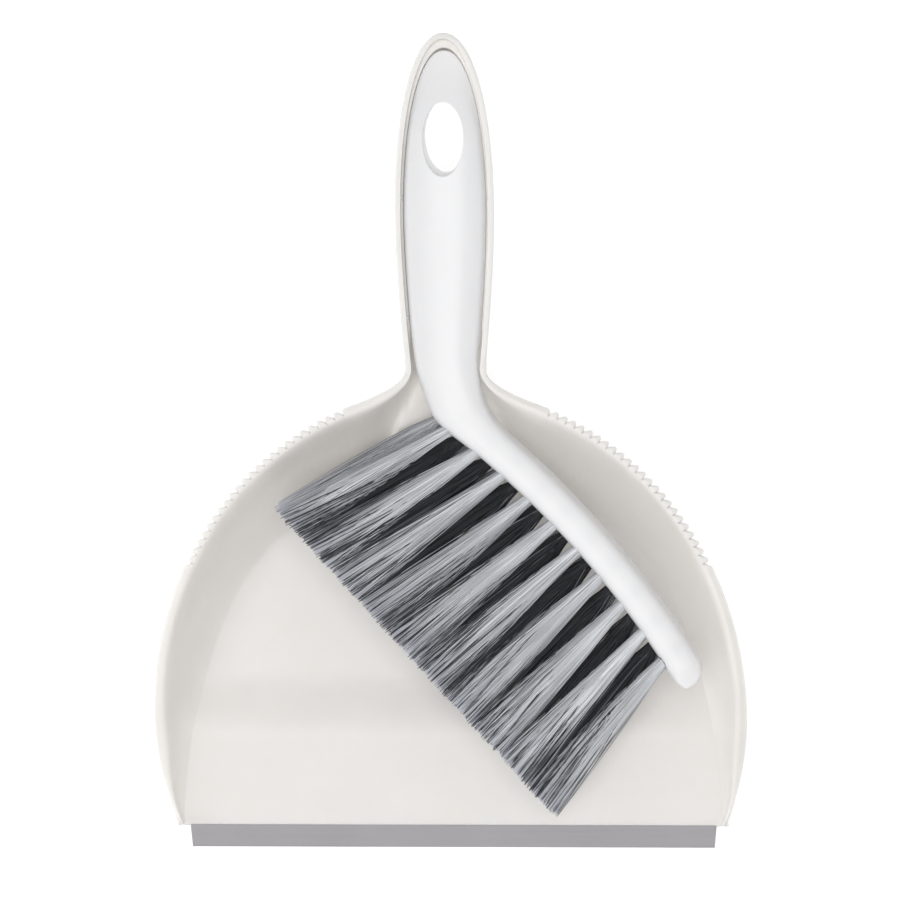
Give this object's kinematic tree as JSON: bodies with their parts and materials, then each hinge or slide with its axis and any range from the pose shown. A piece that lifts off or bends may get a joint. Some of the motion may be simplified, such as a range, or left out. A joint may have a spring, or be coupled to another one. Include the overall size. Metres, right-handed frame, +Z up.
{
  "type": "dust pan and brush set",
  "caption": "Hand brush that clips into the hollow handle of a scoop-shaped dust pan with a soft front lip, a comb along the rim and a hang hole through both handles.",
  "frame": {"origin": "on the floor under the middle of the set's outline, with the brush clipped into the pan", "axes": "+X to the right and +Y from the lip towards the handle, seen from above; +Z up off the floor"},
  "size_m": [0.2374, 0.3236, 0.059],
  "materials": {
    "pan_plastic": "satin",
    "brush_plastic": "gloss",
    "lip_rubber": "matte",
    "bristle_light": "satin",
    "bristle_dark": "satin",
    "anchor_steel": "satin"
  },
  "bodies": {
    "pan": {"pan_body": "pan_plastic", "pan_lip": "lip_rubber"},
    "brush": {"brush_body": "brush_plastic", "tuft_top_01": "bristle_light", "tuft_top_02": "bristle_light", "tuft_top_03": "bristle_light", "tuft_top_04": "bristle_light", "tuft_top_05": "bristle_light", "tuft_top_06": "bristle_light", "tuft_top_07": "bristle_light", "tuft_top_08": "bristle_light", "tuft_top_09": "bristle_light", "tuft_top_10": "bristle_light", "tuft_middle_01": "bristle_dark", "tuft_middle_02": "bristle_dark", "tuft_middle_03": "bristle_dark", "tuft_middle_04": "bristle_dark", "tuft_middle_05": "bristle_dark", "tuft_middle_06": "bristle_dark", "tuft_middle_07": "bristle_dark", "tuft_middle_08": "bristle_dark", "tuft_middle_09": "bristle_dark", "tuft_bottom_01": "bristle_light", "tuft_bottom_02": "bristle_light", "tuft_bottom_03": "bristle_light", "tuft_bottom_04": "bristle_light", "tuft_bottom_05": "bristle_light", "tuft_bottom_06": "bristle_light", "tuft_bottom_07": "bristle_light", "tuft_bottom_08": "bristle_light", "tuft_bottom_09": "bristle_light", "anchor_top_01": "anchor_steel", "anchor_top_02": "anchor_steel", "anchor_top_03": "anchor_steel", "anchor_top_04": "anchor_steel", "anchor_top_05": "anchor_steel", "anchor_top_06": "anchor_steel", "anchor_top_07": "anchor_steel", "anchor_top_08": "anchor_steel", "anchor_top_09": "anchor_steel", "anchor_top_10": "anchor_steel", "anchor_middle_01": "anchor_steel", "anchor_middle_02": "anchor_steel", "anchor_middle_03": "anchor_steel", "anchor_middle_04": "anchor_steel", "anchor_middle_05": "anchor_steel", "anchor_middle_06": "anchor_steel", "anchor_middle_07": "anchor_steel", "anchor_middle_08": "anchor_steel", "anchor_middle_09": "anchor_steel", "anchor_bottom_01": "anchor_steel", "anchor_bottom_02": "anchor_steel", "anchor_bottom_03": "anchor_steel", "anchor_bottom_04": "anchor_steel", "anchor_bottom_05": "anchor_steel", "anchor_bottom_06": "anchor_steel", "anchor_bottom_07": "anchor_steel", "anchor_bottom_08": "anchor_steel", "anchor_bottom_09": "anchor_steel"}
  },
  "joints": [
    {"name": "brush_lift", "type": "slide", "parent": "pan", "child": "brush", "axis": [0, -0.1045, 0.9945], "range_m": [0, 0.1]}
  ]
}
